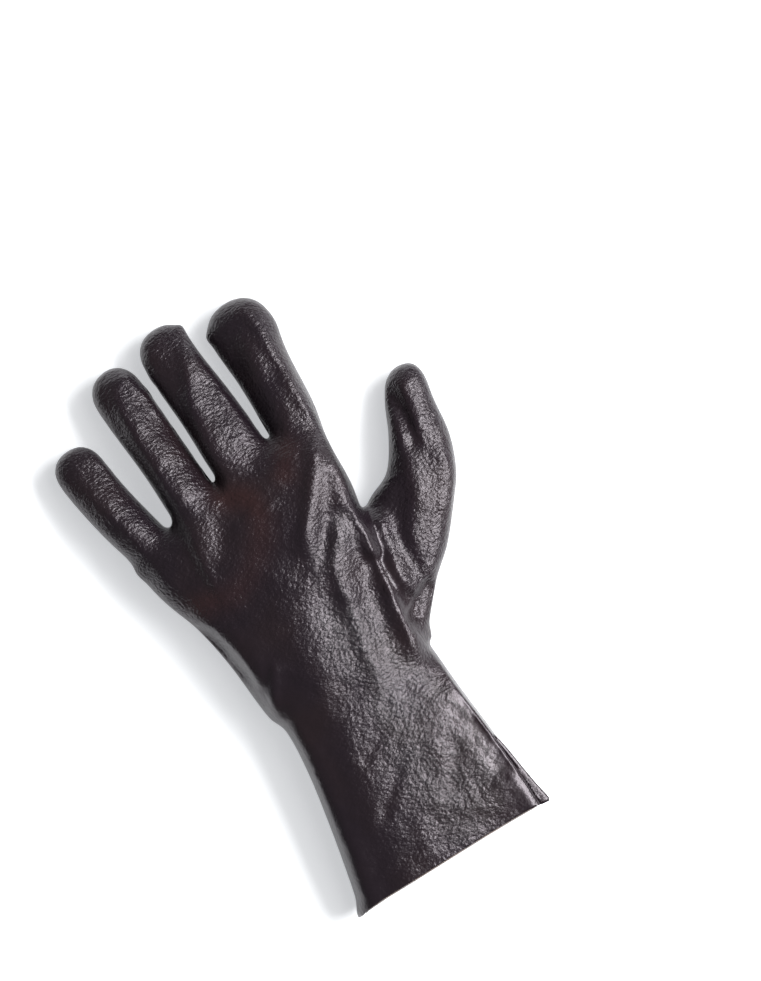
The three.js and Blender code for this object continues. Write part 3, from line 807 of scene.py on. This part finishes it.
def knit_material():
    """Off-white jersey: columns of loops along the hand, uneven yarn and a soft fuzz."""
    material = bpy.data.materials.new("liner_knit")
    material.use_nodes = True
    nodes, links = material.node_tree.nodes, material.node_tree.links
    bsdf = principled(material)
    bsdf.inputs["Roughness"].default_value = LINER_ROUGHNESS
    bsdf.inputs["Sheen Weight"].default_value = LINER_SHEEN
    bsdf.inputs["Sheen Roughness"].default_value = 0.5
    coords = nodes.new("ShaderNodeTexCoord")
    waves = []
    for direction, scale in (("X", WALE_SCALE), ("Y", COURSE_SCALE)):
        wave = nodes.new("ShaderNodeTexWave")
        wave.bands_direction = direction
        wave.inputs["Scale"].default_value = scale
        wave.inputs["Distortion"].default_value = YARN_UNEVEN
        wave.inputs["Detail"].default_value = 1
        wave.inputs["Detail Scale"].default_value = 2
        links.new(coords.outputs["Object"], wave.inputs["Vector"])
        waves.append(wave.outputs["Fac"])
    loops = nodes.new("ShaderNodeMath")
    loops.operation = "MULTIPLY"
    links.new(waves[0], loops.inputs[0])
    links.new(waves[1], loops.inputs[1])
    fuzz = nodes.new("ShaderNodeTexNoise")
    fuzz.inputs["Scale"].default_value = FUZZ_SCALE
    links.new(coords.outputs["Object"], fuzz.inputs["Vector"])
    height = nodes.new("ShaderNodeMath")
    height.operation = "MULTIPLY_ADD"
    height.inputs[1].default_value = FUZZ_SHARE
    links.new(fuzz.outputs["Fac"], height.inputs[0])
    links.new(loops.outputs[0], height.inputs[2])
    ramp = nodes.new("ShaderNodeValToRGB")
    ramp.color_ramp.elements[0].color = LINER_DARK
    ramp.color_ramp.elements[1].color = LINER_LIGHT
    links.new(height.outputs[0], ramp.inputs["Fac"])
    links.new(ramp.outputs["Color"], bsdf.inputs["Base Color"])
    bump = nodes.new("ShaderNodeBump")
    bump.inputs["Distance"].default_value = KNIT_DEPTH
    links.new(height.outputs[0], bump.inputs["Height"])
    links.new(bump.outputs["Normal"], bsdf.inputs["Normal"])
    return material


def mark_surface(obj):
    """How rubbed and brown the coating is at each vertex, and how grained, from 0 to 1."""
    spots = raw(points_of(obj))[:, :2]
    rubbed = sum(near_line(spots, line, reach) for line, reach in RUBBED)
    smooth = sum(near_line(spots, line, reach) for line, reach in SMOOTH)
    for name, values in (("rubbed", rubbed), ("grain", 1 - SMOOTH_SHARE * np.clip(smooth, 0, 1))):
        layer = obj.data.attributes.new(name, "FLOAT", "POINT")
        layer.data.foreach_set("value", np.clip(values, 0, 1))


def finish_piece(obj, node, material):
    """Gives a piece its material and its place in the frame."""
    obj.data.materials.clear()
    obj.data.materials.append(material)
    obj.data.polygons.foreach_set("use_smooth", [True] * len(obj.data.polygons))
    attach(obj, "root")
    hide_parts(node)


# What only cuts or is joined on, and goes once that is done
SPARES = ("inside", "liner_inside", "below", "band", "seam", "stitch")


def build_glove():
    """Both pieces: the coating and the liner's sleeve in its cuff."""
    outside = build_outside()
    inside = shrunk(outside, "inside", WALL)
    sleeve = shrunk(inside, "liner", LINER_GAP)
    sleeve_inside = shrunk(sleeve, "liner_inside", LINER_WALL)
    below = cutter("below", -CUT_BELOW, 0)
    band = cutter("band", -LINER_PROUD, LINER_DEPTH)
    cut(outside, seam_fin(), "UNION")
    cut(outside, seam_stitches(outside), "UNION")
    cut(outside, inside)
    cut(outside, below)
    cut(sleeve, sleeve_inside)
    cut(sleeve, band, "INTERSECT")
    for spare in [o for o in bpy.context.scene.objects if o.name in SPARES]:
        bpy.data.objects.remove(spare)
    mark_surface(outside)
    finish_piece(outside, "coated_shell", coating_material())
    finish_piece(sleeve, "cuff_liner", knit_material())


# The photograph's view, from straight above
VIEW_CENTRE = (0.0465, 0.0283)
VIEW_TURN = math.radians(-28.5)
VIEW_HEIGHT = 0.4905
VIEW_LEVEL = 0.015
VIEW_DISTANCE = 3
VIEW_FAR = 20
SENSOR_WIDTH = 36

# The studio: each light's name, size, watts and place, across and up the picture and above
# the floor
LIGHTS = [
    ("key", (1.1, 0.42), 25, (0.83, 0.27, 0.97)),
    ("soft edge", (1.6, 1.0), 7, (0.66, 0.22, 1.04)),
]
WORLD_STRENGTH = 0.18
FLOOR_REACH = 6
FLOOR_COLOUR = (0.86, 0.87, 0.88, 1)
FLOOR_ROUGHNESS = 0.9
FLOOR_GLOW = (0.95, 0.97, 1, 1)
FLOOR_GLOW_STRENGTH = 0.5


def build_camera():
    camera = bpy.data.objects.new("camera", bpy.data.cameras.new("camera"))
    bpy.context.scene.collection.objects.link(camera)
    camera.location = (*VIEW_CENTRE, VIEW_LEVEL + VIEW_DISTANCE)
    camera.rotation_euler = (0, 0, VIEW_TURN)
    camera.data.sensor_width = SENSOR_WIDTH
    camera.data.lens = SENSOR_WIDTH * VIEW_DISTANCE / VIEW_HEIGHT
    camera.data.clip_end = VIEW_FAR
    bpy.context.scene.camera = camera


def area_light(name, size, watts, place):
    """A soft light that faces the glove."""
    light = bpy.data.lights.new(name, "AREA")
    light.shape = "RECTANGLE"
    light.size, light.size_y = size
    light.energy = watts
    obj = bpy.data.objects.new(name, light)
    bpy.context.scene.collection.objects.link(obj)
    right = np.array([math.cos(VIEW_TURN), math.sin(VIEW_TURN), 0])
    up = np.array([-math.sin(VIEW_TURN), math.cos(VIEW_TURN), 0])
    spot = place[0] * right + place[1] * up + np.array([0, 0, place[2]])
    obj.location = spot
    obj.rotation_euler = Vector(-spot).to_track_quat("-Z", "Y").to_euler()


def build_studio():
    world = bpy.context.scene.world or bpy.data.worlds.new("studio")
    bpy.context.scene.world = world
    world.use_nodes = True
    background = world.node_tree.nodes["Background"]
    background.inputs["Color"].default_value = (1, 1, 1, 1)
    background.inputs["Strength"].default_value = WORLD_STRENGTH
    for light in LIGHTS:
        area_light(*light)
    corners = [(-1, -1), (1, -1), (1, 1), (-1, 1)]
    corners = [(x * FLOOR_REACH, y * FLOOR_REACH, 0) for x, y in corners]
    floor = mesh_object("floor", corners, [(0, 1, 2, 3)])
    material = bpy.data.materials.new("floor")
    material.use_nodes = True
    bsdf = principled(material)
    bsdf.inputs["Base Color"].default_value = FLOOR_COLOUR
    bsdf.inputs["Roughness"].default_value = FLOOR_ROUGHNESS
    bsdf.inputs["Emission Color"].default_value = FLOOR_GLOW
    bsdf.inputs["Emission Strength"].default_value = FLOOR_GLOW_STRENGTH
    floor.data.materials.append(material)
    bpy.context.scene.view_settings.view_transform = "Standard"


build_camera()
build_studio()
build_glove()
